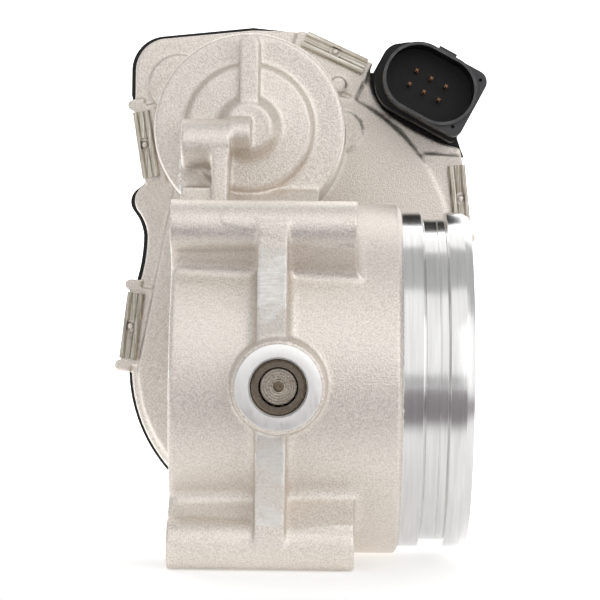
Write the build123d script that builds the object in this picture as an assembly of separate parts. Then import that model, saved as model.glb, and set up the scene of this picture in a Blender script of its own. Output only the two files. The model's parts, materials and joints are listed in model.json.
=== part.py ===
from build123d import *
import math
import os

# Electronic throttle body for an engine's air intake.
# Millimetres. +X runs along the air bore, from the manifold flange (x = 0) towards the intake duct.
# +Y runs along the throttle shaft, from the bearing boss towards the gear cover. +Z is up: the
# actuator motor stands above the bore. The origin is the centre of the bore on the flange face.

# ---- air bore, cast body and duct spigot (solids of revolution about X) ----
BORE_R = 41.0
BODY_R = 49.5
BODY_END = 62.5
SPIGOT_R = 47.5
SPIGOT_END = 82.0
GROOVE_R = 45.6
GROOVE_START = 69.0
GROOVE_END = 74.9

# ---- four long bolt bosses ----
BOLT_PITCH = 85.0
BOLT_HOLE_R = 3.3
BOLT_BOSS_R = 7.0
BOLT_BOSS_LENGTH = 50.0
WEB_HALF_WIDTH = (5.4, 7.6)
CAST_FILLET = 3.0
RIB_X = (23.5, 31.5)

# ---- throttle shaft and its two needle bearings ----
SHAFT_X = 29.5
SHAFT_R = 5.0
SHAFT_NEAR_END = -52.0
SHAFT_GEAR_END = 73.0
SHAFT_HOLE_R = 5.3
NEAR_BOSS_FACE = -57.0
NEAR_RING_R = 11.4
BEARING_R = 7.5
BEARING_LENGTH = 10.0
NEAR_BEARING_Y = -55.0
GEAR_BEARING_Y = 47.5
SEAL_LENGTH = 2.5
CUP_WALL = 0.8
CUP_LIP_R = 5.32
ROLLER_R = 0.83
ROLLER_COUNT = 14

# ---- throttle plate: its disc, its angle at rest and its two screws ----
PLATE_R = 40.7
PLATE_THICKNESS = 2.4
PLATE_TILT = 12.0
PLATE_SCREW_Y = (-15.0, 15.0)
PLATE_SCREW_R = 2.0

# ---- gear case: a flat tray on the far side of the body ----
PLATEAU_FACE = 54.5
PLATEAU_WALL = 3.4
RIM_FACE = 56.0
PAD_FACE = 55.2
TRAY_FLOOR = 57.5
SHALLOW_FLOOR = 59.0
JOINT_PLANE = 61.0
RIM_WIDTH = 5.0
TRAY_ROUND_R = 47.1
COVER_PROUD = 1.2
COVER_SIDE_PROUD = 1.5

# ---- cover ----
COVER_RIM_BACK = 64.5
COVER_ROOF_INSIDE = 78.5
COVER_ROOF = 81.0
DOME_SETBACK = 3.0
LID_STEP = 1.2

# ---- gear train ----
PRESSURE_ANGLE = math.radians(20)
PROFILE_SHIFT = 0.3
BACKLASH = 0.07
MOTOR_X, MOTOR_Z = 19.6, 70.7
PINION_TEETH, WHEEL_TEETH, WHEEL_MODULE = 14, 54, 0.8
SMALL_TEETH, SECTOR_TEETH, SECTOR_MODULE = 14, 76, 1.0
WHEEL_CENTRES = WHEEL_MODULE * (PINION_TEETH + WHEEL_TEETH) / 2
SECTOR_CENTRES = SECTOR_MODULE * (SMALL_TEETH + SECTOR_TEETH) / 2
SECTOR_Y = (64.3, 70.3)
SMALL_Y = (63.8, 71.2)
WHEEL_Y = (71.2, 75.7)
PINION_Y = (70.7, 76.2)
SECTOR_FIRST, SECTOR_LAST = -4, 19
SECTOR_EDGES = (66.0, 182.0)
CLOSED_TURN, OPEN_TURN = -7.0, 78.0
STOP_R = 33.0
STOP_SCREW_Y = 67.0
STOP_SCREW_R = 2.0
PIN_R = 2.5

# ---- return spring: one wire coil around the gear-side bearing post ----
SPRING_R = 14.0
SPRING_WIRE_R = 0.85
SPRING_START = 54.0
SPRING_PITCH = 1.9
SPRING_TURNS = 4.5
SPRING_TANG = 10.5

# ---- motor ----
POT_R = 27.1
POT_FACE = -5.0
CAN_R = 21.4
CAN_WALL = 1.0
CAN_REAR = 0.0
CAN_FRONT = 58.9
MOTOR_SHAFT_R = 2.0
MAGNET_INNER_R = 16.6
CORE_R = 16.1
ARMATURE_SLOTS = 8
SLOT_CENTRE_R = 10.2
SLOT_R = 3.1
MOTOR_SCREWS = ((-4.0, 87.0), (45.0, 87.6), (10.0, 42.0))
END_PLATE_THICKNESS = 2.2

# ---- cover clips: where each one's edge is (x, z) and which way it faces outwards ----
CLIP_LENGTH = 20.4
CLIP_ZONE = 11.2
CLIP_THICKNESS = 0.5
CLIP_GAP = 0.06
FLAT_TURN = 13.5
FLAT_R = TRAY_ROUND_R * math.cos(math.radians(FLAT_TURN))
CLIPS = {
    "upper_left": (-16.0, 68.2, 189.3),
    "lower_left": (-19.7, 12.8, 173.2),
    "top_right": (44.7, 99.3, 65.8),
    "right": (84.8, 53.3, 6.3),
    "lower_right": (
        SHAFT_X + FLAT_R * math.cos(math.radians(-58.5)),
        FLAT_R * math.sin(math.radians(-58.5)),
        -58.5,
    ),
    "bottom": (
        SHAFT_X + FLAT_R * math.cos(math.radians(-118.5)),
        FLAT_R * math.sin(math.radians(-118.5)),
        -118.5,
    ),
}

# ---- electrical connector, tilted in the XZ plane ----
CONNECTOR_X, CONNECTOR_Z = 72.4, 86.8
CONNECTOR_TILT = -28.0
SHROUD_FACE = 32.0
SHROUD_FLOOR = 47.0
SHROUD_LENGTH, SHROUD_WIDTH = 29.0, 21.0
SHROUD_WALL = 0.9
FLANGE_FACE = 33.2
FLANGE_RIGHT = 15.1
PIN_PITCH, PIN_ROW = 5.0, 4.6
PIN_FIRST_COLUMN, PIN_FIRST_ROW = -5.4, -2.1
PIN_SIZE = 0.9
PIN_TIP = 38.5

# ---- position sensor and conductors under the cover's roof ----
BOARD_FACE = 76.6
LEAD_Y = (77.7, 78.5)
LEAD_WIDTH = 1.3


# ---------------------------------------------------------------- helpers
def rod(x, z, y0, y1, r):
    """A cylinder along Y."""
    return Solid.make_cylinder(r, y1 - y0, Plane(origin=(x, y0, z), z_dir=(0, 1, 0)))


def cone(x, z, y0, y1, r0, r1):
    """A cone along Y, r0 at y0 and r1 at y1."""
    way = 1 if y1 > y0 else -1
    return Solid.make_cone(r0, r1, abs(y1 - y0), Plane(origin=(x, y0, z), z_dir=(0, way, 0)))


def bar(y, z, x0, x1, r):
    """A cylinder along X."""
    return Solid.make_cylinder(r, x1 - x0, Plane(origin=(x0, y, z), z_dir=(1, 0, 0)))


def block(x0, x1, y0, y1, z0, z1):
    """A box between two corners."""
    return Solid.make_box(x1 - x0, y1 - y0, z1 - z0, Plane(origin=(x0, y0, z0)))


def tube(x, z, y0, y1, outer, inner):
    """A ring along Y."""
    return rod(x, z, y0, y1, outer) - rod(x, z, y0 - 1, y1 + 1, inner)


def turned(x, z, *profile):
    """A solid of revolution about the Y line through (x, z), from (radius, y) points."""
    corners = [Vector(x + r, y, z) for r, y in profile]
    face = Face(Wire.make_polygon(corners))
    return Solid.revolve(face, 360, Axis((x, 0, z), (0, 1, 0)))


def polar(x, z, r, degrees):
    """The (x, z) point at a distance and direction from a centre."""
    a = math.radians(degrees)
    return (x + r * math.cos(a), z + r * math.sin(a))


def outline(start, *steps):
    """A closed face in the XZ plane. A step is an end point, or a middle and an end point of an arc."""
    edges = []
    here = Vector(start[0], 0, start[1])
    for step in steps:
        if isinstance(step[0], tuple):
            middle, end = (Vector(p[0], 0, p[1]) for p in step)
            edges.append(Edge.make_three_point_arc(here, middle, end))
        else:
            end = Vector(step[0], 0, step[1])
            edges.append(Edge.make_line(here, end))
        here = end
    first = Vector(start[0], 0, start[1])
    if (here - first).length > 1e-6:
        edges.append(Edge.make_line(here, first))
    return Face(Wire(edges))


def slab(face, y0, y1):
    """An XZ face extruded from y0 to y1."""
    return Solid.extrude(face.moved(Location((0, y0, 0))), Vector(0, y1 - y0, 0))


def softened(solid, y, radius):
    """The solid with its edges at one depth y rounded."""
    edges = [e for e in solid.edges() if all(abs(e.position_at(u).Y - y) < 1e-4 for u in (0, 0.5, 1))]
    return solid.fillet(radius, edges)


def corners_rounded(solid, radius):
    """A slab with its upright corners rounded, apart from those that are already smooth."""
    sharp = []
    for edge in solid.edges():
        middle = edge.position_at(0.5)
        if abs(edge.tangent_at(0.5).Y) < 0.999:
            continue
        sides = [f for f in solid.faces() if any(edge.is_same(e) for e in f.edges())]
        normals = [f.normal_at(middle) for f in sides]
        if normals[0].get_angle(normals[1]) > 2:
            sharp.append(edge)
    return solid.fillet(radius, sharp)


def inset(face, amount):
    """The face with its edge moved inwards."""
    return Face(face.outer_wire().offset_2d(-amount, kind=Kind.ARC))


def united(first, *others):
    """One solid from touching ones."""
    return first.fuse(*others).clean()


def pieces(*shapes):
    """Separate solids that share one node."""
    return Compound(children=[s for shape in shapes for s in shape.solids()])


# ---------------------------------------------------------------- clip places and the tray's outline
def clip_plane(name):
    """Local X runs along the edge, local Y points outwards and local Z is the shaft's direction."""
    x, z, facing = CLIPS[name]
    a = math.radians(facing)
    return Plane(origin=(x, 0, z), x_dir=(-math.sin(a), 0, math.cos(a)), z_dir=(0, 1, 0))


def clip_end(name, side):
    """The (x, z) end of a clip's straight edge: side 1 is anticlockwise, seen from the bearing boss."""
    x, z, facing = CLIPS[name]
    a = math.radians(facing)
    reach = CLIP_ZONE * side
    return (x - math.sin(a) * reach, z + math.cos(a) * reach)


def tangent_point():
    """Where the straight right-hand edge meets the round around the throttle shaft."""
    x, z = clip_end("right", -1)
    away = math.hypot(x - SHAFT_X, z)
    turn = math.degrees(math.atan2(z, x - SHAFT_X) - math.acos(TRAY_ROUND_R / away))
    return turn


def tray_outline(proud=0.0, side_proud=0.0):
    """The gear case's edge, moved outwards between the clips by proud, and by side_proud on the left."""
    g = proud
    s = side_proud
    r = TRAY_ROUND_R + g

    def around(degrees):
        return polar(SHAFT_X, 0, r, degrees)

    low, high = -58.5 - FLAT_TURN, -58.5 + FLAT_TURN
    low2, high2 = -118.5 - FLAT_TURN, -118.5 + FLAT_TURN
    turn = tangent_point()
    return outline(
        (-17.5 - s, 84.0),
        (-17.5 - s, 91.3),
        ((-15.1 - s * 0.8, 97.9 + g * 0.8), (-9.6, 101.2 + g)),
        (18.5, 104.2 + g),
        clip_end("top_right", 1),
        clip_end("top_right", -1),
        (55.0, 88.5),
        ((57.9, 82.0), (63.5, 77.2)),
        ((72.6, 72.2), (82.8, 68.4)),
        clip_end("right", 1),
        clip_end("right", -1),
        around(turn),
        (around((turn + high) / 2), around(high + 1)),
        clip_end("lower_right", 1),
        clip_end("lower_right", -1),
        around(low - 1),
        (around((low + high2) / 2), around(high2 + 1)),
        clip_end("bottom", 1),
        clip_end("bottom", -1),
        around(low2 - 1),
        (around(-157.0), around(-180.0)),
        clip_end("lower_left", 1),
        clip_end("lower_left", -1),
        (-15.2 - s, 26.6),
        ((-13.7 - s, 33.5), (-13.2 - s, 40.6)),
        ((-14.2 - s, 44.6), (-16.4 - s, 48.2)),
        ((-17.3 - s, 51.6), (-15.8 - s * 0.6, 55.0)),
        clip_end("upper_left", 1),
        clip_end("upper_left", -1),
    )


# ---------------------------------------------------------------- gears
def involute(angle):
    return math.tan(angle) - angle


def tooth_path(x, z, teeth, module, shift, first_angle, count):
    """Edges of some teeth of an involute gear, anticlockwise, with each root arc before its tooth."""
    pitch_r = module * teeth / 2
    base_r = pitch_r * math.cos(PRESSURE_ANGLE)
    tip_r = pitch_r + module * (1 + shift)
    root_r = pitch_r - module * (1.25 - shift)
    half_pitch = (math.pi / 2 + 2 * shift * math.tan(PRESSURE_ANGLE)) / teeth
    half_pitch -= BACKLASH / 2 / pitch_r
    foot_r = max(base_r, root_r)
    step = 360 / teeth

    def half_angle(r):
        slope = math.acos(min(1.0, base_r / r))
        return math.degrees(half_pitch + involute(PRESSURE_ANGLE) - involute(slope))

    def point(r, degrees):
        px, pz = polar(x, z, r, degrees)
        return Vector(px, 0, pz)

    foot, tip = half_angle(foot_r), half_angle(tip_r)
    middle_r = (foot_r + tip_r) / 2
    middle = half_angle(middle_r)
    edges = []
    for k in range(count):
        at = first_angle + k * step
        before = at - step + foot
        edges.append(
            Edge.make_three_point_arc(
                point(root_r, before), point(root_r, at - step / 2), point(root_r, at - foot)
            )
        )
        if base_r > root_r + 1e-6:
            edges.append(Edge.make_line(point(root_r, at - foot), point(foot_r, at - foot)))
        edges.append(
            Edge.make_three_point_arc(
                point(foot_r, at - foot), point(middle_r, at - middle), point(tip_r, at - tip)
            )
        )
        edges.append(
            Edge.make_three_point_arc(
                point(tip_r, at - tip), point(tip_r, at), point(tip_r, at + tip)
            )
        )
        edges.append(
            Edge.make_three_point_arc(
                point(tip_r, at + tip), point(middle_r, at + middle), point(foot_r, at + foot)
            )
        )
        if base_r > root_r + 1e-6:
            edges.append(Edge.make_line(point(foot_r, at + foot), point(root_r, at + foot)))
    return edges, root_r, foot


def gear_face(x, z, teeth, module, shift, first_angle):
    """A whole gear's outline, with a tooth centred on first_angle."""
    edges, _, _ = tooth_path(x, z, teeth, module, shift, first_angle, teeth)
    return Face(Wire(edges))


def middle_axis():
    """Where the intermediate gear turns: at both centre distances, on the +X side."""
    dx, dz = SHAFT_X - MOTOR_X, -MOTOR_Z
    apart = math.hypot(dx, dz)
    along = (WHEEL_CENTRES**2 - SECTOR_CENTRES**2 + apart**2) / (2 * apart)
    aside = math.sqrt(WHEEL_CENTRES**2 - along**2)
    ux, uz = dx / apart, dz / apart
    return (MOTOR_X + ux * along - uz * aside, MOTOR_Z + uz * along + ux * aside)


MIDDLE_X, MIDDLE_Z = middle_axis()
TO_MIDDLE = math.degrees(math.atan2(MIDDLE_Z, MIDDLE_X - SHAFT_X))
TO_MOTOR = math.degrees(math.atan2(MOTOR_Z - MIDDLE_Z, MOTOR_X - MIDDLE_X))


def sector_gear():
    """Toothed sector on the throttle shaft, with its hub and a lightening window."""
    step = 360 / SECTOR_TEETH
    first = TO_MIDDLE + SECTOR_FIRST * step
    count = SECTOR_LAST - SECTOR_FIRST + 1
    edges, root_r, foot = tooth_path(
        SHAFT_X, 0, SECTOR_TEETH, SECTOR_MODULE, -PROFILE_SHIFT, first, count
    )
    low, high = SECTOR_EDGES

    def point(r, degrees):
        px, pz = polar(SHAFT_X, 0, r, degrees)
        return Vector(px, 0, pz)

    start = first - step + foot
    last = first + (count - 1) * step + foot
    hub_edge = 8.0
    edges.append(
        Edge.make_three_point_arc(point(root_r, last), point(root_r, (last + high) / 2), point(root_r, high))
    )
    edges.append(Edge.make_line(point(root_r, high), point(hub_edge, high)))
    edges.append(
        Edge.make_three_point_arc(
            point(hub_edge, high), point(hub_edge, (low + high) / 2), point(hub_edge, low)
        )
    )
    edges.append(Edge.make_line(point(hub_edge, low), point(root_r, low)))
    edges.append(
        Edge.make_three_point_arc(point(root_r, low), point(root_r, (low + start) / 2), point(root_r, start))
    )
    disc = slab(Face(Wire(edges)), *SECTOR_Y)
    hub = rod(SHAFT_X, 0, 63.0, 71.6, 11.5)
    gear = united(disc, hub)
    for turn in (95, 124, 153):
        cx, cz = polar(SHAFT_X, 0, 24.0, turn)
        gear -= rod(cx, cz, 60, 75, 5.0)
    gear -= rod(SHAFT_X, 0, 60, 75, 8.0)
    return gear


def gear_insert():
    """Steel plate moulded into the gear's hub and staked to the shaft."""
    plate = rod(SHAFT_X, 0, 63.0, 71.6, 8.0) - rod(SHAFT_X, 0, 60, 75, SHAFT_R)
    return plate


def intermediate_gear():
    """Small gear that drives the sector, and the large wheel that the motor drives."""
    small_space = TO_MIDDLE + 180
    small = gear_face(
        MIDDLE_X, MIDDLE_Z, SMALL_TEETH, SECTOR_MODULE, PROFILE_SHIFT, small_space + 180 / SMALL_TEETH
    )
    wheel = gear_face(MIDDLE_X, MIDDLE_Z, WHEEL_TEETH, WHEEL_MODULE, -PROFILE_SHIFT, TO_MOTOR)
    gear = united(slab(small, *SMALL_Y), slab(wheel, *WHEEL_Y))
    web_groove = tube(MIDDLE_X, MIDDLE_Z, WHEEL_Y[0] + 2.8, WHEEL_Y[1] + 1, 18.5, 7.0)
    gear -= web_groove
    for k in range(6):
        cx, cz = polar(MIDDLE_X, MIDDLE_Z, 13.0, 60 * k)
        gear -= rod(cx, cz, 70, 80, 2.6)
    return gear - rod(MIDDLE_X, MIDDLE_Z, 60, 80, PIN_R + 0.06)


def motor_pinion():
    space = TO_MOTOR + 180
    face = gear_face(
        MOTOR_X, MOTOR_Z, PINION_TEETH, WHEEL_MODULE, PROFILE_SHIFT, space + 180 / PINION_TEETH
    )
    return slab(face, *PINION_Y) - rod(MOTOR_X, MOTOR_Z, 60, 80, MOTOR_SHAFT_R)


# ---------------------------------------------------------------- housing
def bore_body():
    """The cast tube with its machined spigot, turned about the bore's axis."""
    profile = [
        (0, BORE_R),
        (0, BODY_R - 0.8),
        (0.8, BODY_R),
        (BODY_END - 1.0, BODY_R),
        (BODY_END, BODY_R - 1.0),
        (BODY_END, SPIGOT_R - 0.3),
        (BODY_END + 0.3, SPIGOT_R),
        (GROOVE_START - 0.7, SPIGOT_R),
        (GROOVE_START, GROOVE_R),
        (GROOVE_START + 3.6, GROOVE_R),
        (GROOVE_START + 3.8, GROOVE_R + 0.12),
        (GROOVE_END, GROOVE_R + 0.12),
        (GROOVE_END + 0.5, SPIGOT_R),
        (SPIGOT_END - 2.2, SPIGOT_R),
        (SPIGOT_END, SPIGOT_R - 1.2),
        (SPIGOT_END, BORE_R + 2.4),
        (SPIGOT_END - 6.0, BORE_R),
    ]
    face = Face(Wire.make_polygon([Vector(x, 0, r) for x, r in profile]))
    return Solid.revolve(face, 360, Axis.X)


def bolt_bosses():
    """Long bosses at the corners, each joined to the tube by a web that points at the bore and has draft."""
    made = []
    half = BOLT_PITCH / 2
    reach = math.hypot(half, half)
    thin, thick = WEB_HALF_WIDTH
    corners = [
        Vector(0, BORE_R + 3, -thin),
        Vector(BOLT_BOSS_LENGTH, BORE_R + 3, -thick),
        Vector(BOLT_BOSS_LENGTH, BORE_R + 3, thick),
        Vector(0, BORE_R + 3, thin),
    ]
    for sy in (-1, 1):
        for sz in (-1, 1):
            boss = bar(sy * half, sz * half, 0, BOLT_BOSS_LENGTH, BOLT_BOSS_R)
            direction = math.degrees(math.atan2(sz, sy))
            web = Solid.extrude(Face(Wire.make_polygon(corners)), Vector(0, reach - BORE_R - 3, 0))
            made += [boss, web.rotate(Axis.X, direction)]
    return made


def side_rib():
    """Upright rib on the near side, from one bolt boss to the other through the bearing boss."""
    half = BOLT_PITCH / 2
    root, foot, crest = -38.0, -49.9, -51.4
    section = [(root, -half), (foot, -half - 1), (crest, -12), (crest, 12), (foot, half + 1), (root, half)]
    side = Face(Wire.make_polygon([Vector(RIB_X[0], y, z) for y, z in section]))
    return Solid.extrude(side, Vector(RIB_X[1] - RIB_X[0], 0, 0))


def cast_core():
    """Tube, bolt bosses, rib and bearing boss, with a cast fillet where they meet the tube."""
    core = united(bore_body(), *bolt_bosses(), side_rib())

    def meets_tube(edge):
        places = [edge.position_at(u) for u in (0.1, 0.5, 0.9)]
        touches = all(abs(math.hypot(p.Y, p.Z) - BODY_R) < 0.02 for p in places)
        seam = edge.geom_type == GeomType.LINE and abs(places[1].Y) < 0.001
        return touches and not seam and 1 < max(p.X for p in places) < BODY_END - 1

    core = core.fillet(CAST_FILLET, [e for e in core.edges() if meets_tube(e)])
    bearing_boss = cone(SHAFT_X, 0, -40.0, NEAR_BOSS_FACE + 0.7, 13.7, 12.5)
    ring = rod(SHAFT_X, 0, NEAR_BOSS_FACE, -50, NEAR_RING_R)
    return core.fuse(bearing_boss, ring)


def motor_pot():
    """The motor's cup: a stepped end, a rib up its face and a tapped side boss with its own rib."""
    x, z = MOTOR_X, MOTOR_Z
    cup = turned(
        x,
        z,
        (0, RIM_FACE + 1),
        (POT_R + 0.6, RIM_FACE + 1),
        (POT_R, POT_FACE),
        (18.4, POT_FACE),
        (17.6, POT_FACE - 3.6),
        (9.2, POT_FACE - 4.4),
        (6.6, POT_FACE - 9.0),
        (0, POT_FACE - 9.0),
    )
    rims = [e for e in cup.edges() if e.geom_type == GeomType.CIRCLE and e.position_at(0).Y < 0]
    cup = cup.fillet(1.2, rims)
    top_rib = block(x - 2.6, x + 2.6, POT_FACE - 8.2, 0, z, z + 23.4)
    top_end = rod(x, z + 23.4, POT_FACE - 8.2, 0, 2.6)
    side_boss = bar(-14.0, 66.0, 1.0, 14.6, 6.8)
    side_tip = bar(-15.4, 68.7, 14.6, 20.2, 4.5)
    side_fill = block(14.6, 20.2, -17.2, -5, 66.5, 72.4)
    side_block = block(1.0, 14.6, -13.3, 0, 59.5, 72.2)
    low_rib = block(9.7, 14.3, -20.6, 0, 40, 66)
    low_block = block(1.0, 8.8, -18, 8, 44, 53.5)
    section = ((4, 53.2), (-6, 53.2), (-10, 49), (4, 46))
    foot = Face(Wire.make_polygon([Vector(8.8, y, z) for y, z in section]))
    foot = Solid.extrude(foot, Vector(30.5, 0, 0))
    return [cup, top_rib, top_end, side_boss, side_tip, side_fill, side_block, low_rib, low_block, foot]


def plateau():
    """Raised area of the tray around the gears."""
    return outline(
        (50.0, 83.2),
        ((65.8, 71.6), (79.0, 49.4)),
        (74.0, -6.0),
        (polar(SHAFT_X, 0, 45.0, -94), polar(SHAFT_X, 0, 45.3, 179)),
        (-5.4, 54.5),
        (-5.0, 74.0),
        (20.0, 90.0),
    )


def clip_pad(name):
    """Raised pad that a clip slides on, with its locking bump."""
    plane = clip_plane(name)
    pad = Solid.make_box(2 * CLIP_ZONE + 1.6, 6.6, 2, Plane(origin=(-CLIP_ZONE - 0.8, -6.6, PAD_FACE)))
    bump = Solid.make_cone(1.2, 0.8, 1.0, Plane(origin=(0, -1.6, PAD_FACE), z_dir=(0, 0, -1)))
    return [plane.location * pad, plane.location * bump]


def clip_flats():
    """The wider pads of the two clips beside the connector."""
    outlines = [
        outline((33.0, 106.0), (55.2, 94.4), (50.3, 83.4), (30.0, 96.0)),
        outline((71.6, 66.6), (87.0, 65.7), (90.0, 42.0), (78.0, 42.0)),
    ]
    within = slab(tray_outline(), PAD_FACE, JOINT_PLANE - 1)
    return [within.intersect(slab(face, PAD_FACE, JOINT_PLANE - 1)).solid() for face in outlines]


def clip_seat(name):
    """Room beside the tray for a clip's front leg."""
    seat = Solid.make_box(2 * CLIP_ZONE, 12.6, 4, Plane(origin=(-CLIP_ZONE, -6.6, PAD_FACE - 4)))
    return clip_plane(name).location * seat


def clip_nub(name, side):
    """Rounded horn at the end of a clip's seat."""
    plane = clip_plane(name)
    centre = (-(CLIP_ZONE + 1.3) * side, 0.0)
    horn = Solid.make_cylinder(
        1.7, JOINT_PLANE - PAD_FACE, Plane(origin=(centre[0], centre[1], PAD_FACE))
    )
    root = Solid.make_box(
        3.4, 3.4, JOINT_PLANE - PAD_FACE, Plane(origin=(centre[0] - 1.7, centre[1] - 3.4, PAD_FACE))
    )
    return [plane.location * horn, plane.location * root]


def gear_tray():
    """Flat tray that carries the gears, with its raised plateau, clip pads and screw bosses."""
    raised = softened(slab(plateau(), PLATEAU_FACE, JOINT_PLANE - 1), PLATEAU_FACE, 1.0)
    for name in ("lower_right", "bottom"):
        raised -= clip_seat(name)
    solids = [
        softened(corners_rounded(slab(tray_outline(), RIM_FACE, JOINT_PLANE), 1.0), RIM_FACE, 0.8),
        raised,
        softened(rod(MOTOR_SCREWS[0][0], MOTOR_SCREWS[0][1], 53.6, 58, 9.2), 53.6, 0.8),
        softened(rod(MOTOR_SCREWS[1][0], MOTOR_SCREWS[1][1], 53.2, 58, 2.45), 53.2, 0.8),
        softened(rod(46.6, 73.3, 53.3, 58, 6.1), 53.3, 0.8),
    ]
    solids += clip_flats()
    for name in CLIPS:
        solids += clip_pad(name)
    for name, side in (("upper_left", 1), ("lower_left", 1), ("lower_left", -1), ("right", 1)):
        solids += clip_nub(name, side)
    return solids


def saddle():
    """Metal between the tube and the tray, around the gear-side bearing and the pin's boss."""
    return [
        block(9.0, 54.0, 40.0, 56.0, -27.0, 27.0),
        rod(SHAFT_X, 0, 40.0, 58.0, 21.5),
        rod(MIDDLE_X, MIDDLE_Z, 44.0, 60.0, 6.5),
        rod(MOTOR_SCREWS[2][0], MOTOR_SCREWS[2][1], 50.0, SHALLOW_FLOOR, 5.0),
    ]


def tray_hollows():
    """What is cut from the tray's open side."""
    cavity = inset(tray_outline(), RIM_WIDTH)
    deep = slab(cavity, TRAY_FLOOR, JOINT_PLANE + 5).intersect(
        slab(inset(plateau(), PLATEAU_WALL), TRAY_FLOOR, JOINT_PLANE + 5)
    )
    keep_motor_seat = rod(MOTOR_X, MOTOR_Z, 50, SHALLOW_FLOOR, 25.4)
    keep_pin_boss = rod(MIDDLE_X, MIDDLE_Z, 50, 62.5, 5.0)
    keep_bearing = rod(SHAFT_X, 0, 50, 59.0, 9.8)
    keep_screw = rod(MOTOR_SCREWS[2][0], MOTOR_SCREWS[2][1], 50, SHALLOW_FLOOR, 4.6)
    shallow = slab(cavity, SHALLOW_FLOOR, JOINT_PLANE + 5)
    kept = united(keep_motor_seat, keep_pin_boss, keep_screw)
    return [
        deep.solid() - kept - keep_bearing,
        shallow - keep_pin_boss - keep_bearing,
        tube(SHAFT_X, 0, 52.0, 60.0, 18.5, 9.8),
    ]


def housing_holes():
    """Bores, bearing seats, bolt holes and blind screw holes."""
    half = BOLT_PITCH / 2
    holes = [bar(0, 0, -1, SPIGOT_END + 1, BORE_R)]
    holes += [
        bar(sy * half, sz * half, -1, BOLT_BOSS_LENGTH + 1, BOLT_HOLE_R)
        for sy in (-1, 1)
        for sz in (-1, 1)
    ]
    near_seat = NEAR_BEARING_Y + BEARING_LENGTH + SEAL_LENGTH
    gear_seat = GEAR_BEARING_Y - SEAL_LENGTH
    holes += [
        rod(SHAFT_X, 0, -60, 60, SHAFT_HOLE_R),
        rod(SHAFT_X, 0, -60, near_seat, BEARING_R),
        cone(SHAFT_X, 0, NEAR_BOSS_FACE - 0.01, NEAR_BOSS_FACE + 0.5, BEARING_R + 0.5, BEARING_R),
        rod(SHAFT_X, 0, gear_seat, 60, BEARING_R),
        rod(MIDDLE_X, MIDDLE_Z, 50.5, 64, PIN_R),
        rod(MOTOR_X, MOTOR_Z, CAN_REAR - 0.3, 70, CAN_R + 0.1),
        rod(MOTOR_X, MOTOR_Z, -9.6, 5, 6.0),
        bar(-14.0, 66.0, 0, 12.0, 2.5),
    ]
    holes += [rod(x, z, 54.8, 62, 1.7) for x, z in MOTOR_SCREWS]
    holes.append(closed_stop_bore())
    return holes


def throttle_housing():
    body = united(cast_core(), *motor_pot(), *gear_tray(), *saddle())
    for cut in tray_hollows():
        body -= cut
    body = body.fuse(*stop_posts())
    for hole in housing_holes():
        body -= hole
    return body


# ---------------------------------------------------------------- stops
def closed_stop_place():
    """(x, z) of the closed stop's contact point: the sector's edge turned fully shut, plus a gap."""
    return polar(SHAFT_X, 0, STOP_R, SECTOR_EDGES[1] - CLOSED_TURN + 0.35)


def stop_posts():
    """Posts on the tray's floor: one holds the stop screw, the other is the full-throttle stop."""
    x, z = closed_stop_place()
    screw_post = block(x - 3.2, x + 3.2, 56.0, 70.0, z - 12.0, z - 4.0)
    open_edge = SECTOR_EDGES[0] - OPEN_TURN - 0.4
    corners = [
        polar(SHAFT_X, 0, 27.0, open_edge),
        polar(SHAFT_X, 0, 36.0, open_edge),
        polar(SHAFT_X, 0, 37.0, open_edge - 9),
        polar(SHAFT_X, 0, 27.0, open_edge - 12),
    ]
    open_post = slab(outline(*corners), 56.0, 69.0)
    return [screw_post, open_post]


def closed_stop_bore():
    x, z = closed_stop_place()
    return Solid.make_cylinder(STOP_SCREW_R, 20, Plane(origin=(x, STOP_SCREW_Y, z - 16)))


def closed_stop_screw():
    """Set screw whose tip is the closed stop. It fills its tapped hole and ends in a hex socket."""
    x, z = closed_stop_place()
    screw = Solid.make_cylinder(STOP_SCREW_R, 12.0, Plane(origin=(x, STOP_SCREW_Y, z - 13.0)))
    tip = Solid.make_cone(STOP_SCREW_R, 1.2, 1.0, Plane(origin=(x, STOP_SCREW_Y, z - 1.0)))
    socket = Solid.make_cylinder(1.0, 3.0, Plane(origin=(x, STOP_SCREW_Y, z - 13.0)))
    return united(screw, tip) - socket


# ---------------------------------------------------------------- throttle shaft, plate, bearings
def throttle_shaft():
    """Shaft with a centre-drilled end, the plate's slot and the plate screws' seats."""
    shaft = rod(SHAFT_X, 0, SHAFT_NEAR_END + 0.2, SHAFT_GEAR_END, SHAFT_R)
    nose = cone(SHAFT_X, 0, SHAFT_NEAR_END, SHAFT_NEAR_END + 0.2, SHAFT_R - 0.2, SHAFT_R)
    shaft = united(shaft, nose)
    drill = turned(
        SHAFT_X,
        0,
        (0, SHAFT_NEAR_END - 1),
        (2.3, SHAFT_NEAR_END - 1),
        (2.3, SHAFT_NEAR_END + 0.15),
        (1.5, SHAFT_NEAR_END + 0.2),
        (0.6, SHAFT_NEAR_END + 1.6),
        (0, SHAFT_NEAR_END + 2.0),
    )
    shaft -= drill
    shaft -= plate_slot()
    for y in PLATE_SCREW_Y:
        shaft -= plate_screw_bore(y)
    return shaft


def plate_frame():
    """The valve plate's plane at rest: nearly square across the bore, a few degrees open."""
    a = math.radians(PLATE_TILT)
    return Plane(origin=(SHAFT_X, 0, 0), x_dir=(0, 1, 0), z_dir=(math.cos(a), 0, -math.sin(a)))


def plate_slot():
    """Slot through the shaft for the plate."""
    corner = Plane(origin=(-PLATE_R - 0.3, -6, -PLATE_THICKNESS / 2 - 0.02))
    slot = Solid.make_box(2 * PLATE_R + 0.6, 12, PLATE_THICKNESS + 0.04, corner)
    return plate_frame().location * slot


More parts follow.
